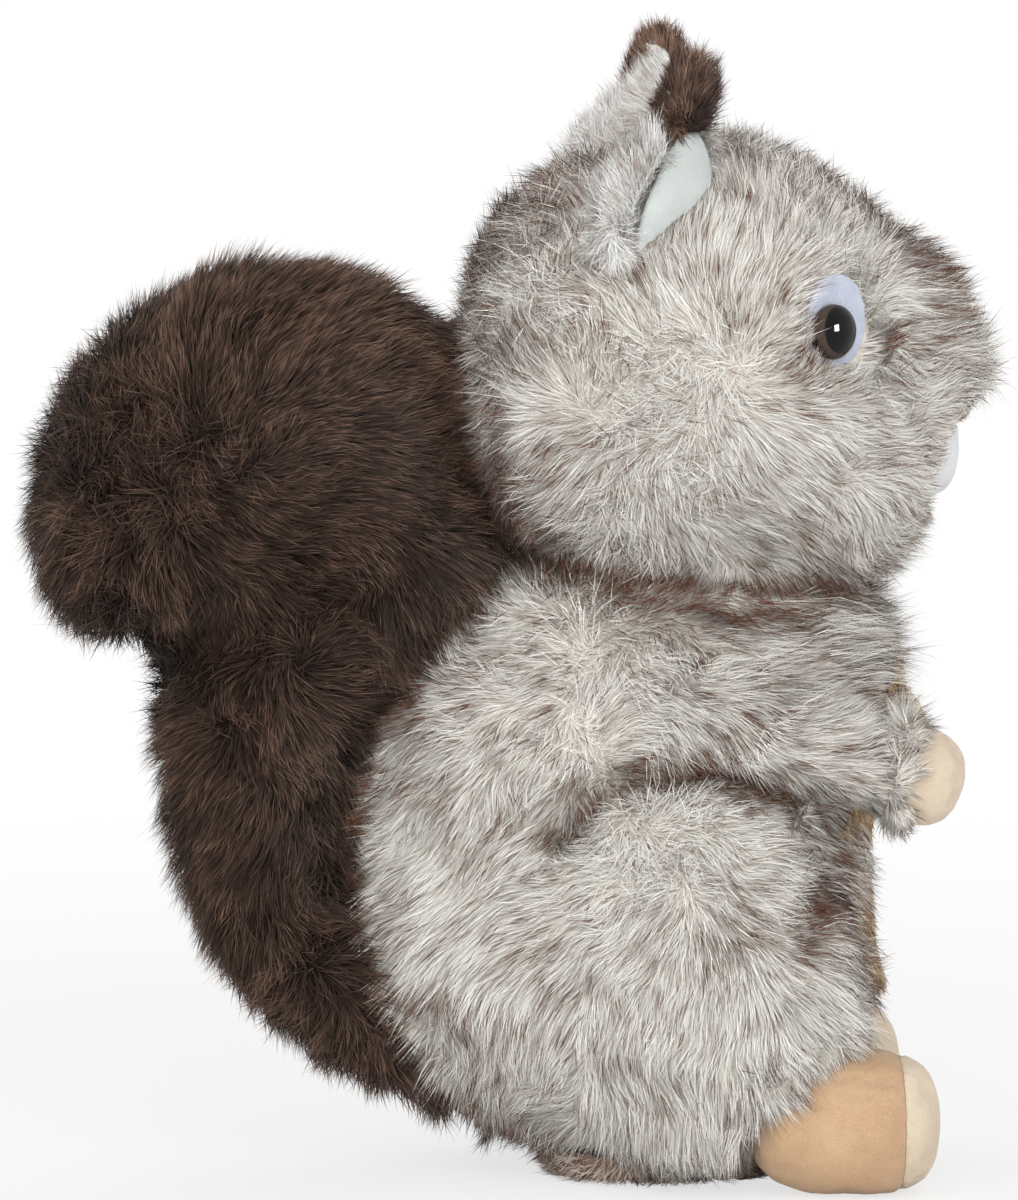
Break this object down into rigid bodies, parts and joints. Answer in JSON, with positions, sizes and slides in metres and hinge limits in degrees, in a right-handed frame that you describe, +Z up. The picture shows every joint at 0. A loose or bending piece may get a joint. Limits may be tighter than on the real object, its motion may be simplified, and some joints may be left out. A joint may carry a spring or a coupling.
{
  "type": "plush squirrel",
  "caption": "Seated plush squirrel with a big round head, tufted ears, velour paws and feet, and a bushy tail curled up its back.",
  "frame": {"origin": "on the surface that it sits on, below the middle of its outline", "axes": "+X is where it faces, +Z is up, and its own left is at +Y"},
  "size_m": [0.2463, 0.1306, 0.2901],
  "materials": {
    "fur_light": "long pile, brown at the tips",
    "fur_dark": "dense long pile",
    "velour_white": "short smooth pile",
    "velour_cream": "short smooth pile",
    "velour_tan": "short smooth pile",
    "plush_gold": "short streaky pile",
    "nose_felt": "felt",
    "eye_white": "smooth knit",
    "eye_gloss": "polished dome",
    "washer_plastic": "moulded"
  },
  "bodies": {
    "root": {"arm_left": "fur_light", "arm_right": "fur_light", "belly_panel": "plush_gold", "ear_left": "fur_light", "ear_lining_left": "velour_white", "ear_lining_right": "velour_white", "ear_right": "fur_light", "ear_tuft_left": "fur_dark", "ear_tuft_right": "fur_dark", "eye_left": "eye_gloss", "eye_patch_left": "eye_white", "eye_patch_right": "eye_white", "eye_right": "eye_gloss", "eye_washer_left": "washer_plastic", "eye_washer_right": "washer_plastic", "foot_left": "velour_tan", "foot_right": "velour_tan", "head": "fur_light", "muzzle_panel": "velour_white", "nose": "nose_felt", "paw_left": "velour_cream", "paw_right": "velour_cream", "seat_panel": "fur_dark", "sole_left": "velour_cream", "sole_right": "velour_cream", "tail": "fur_dark", "thigh_left": "fur_light", "thigh_right": "fur_light", "torso": "fur_light"}
  },
  "joints": []
}
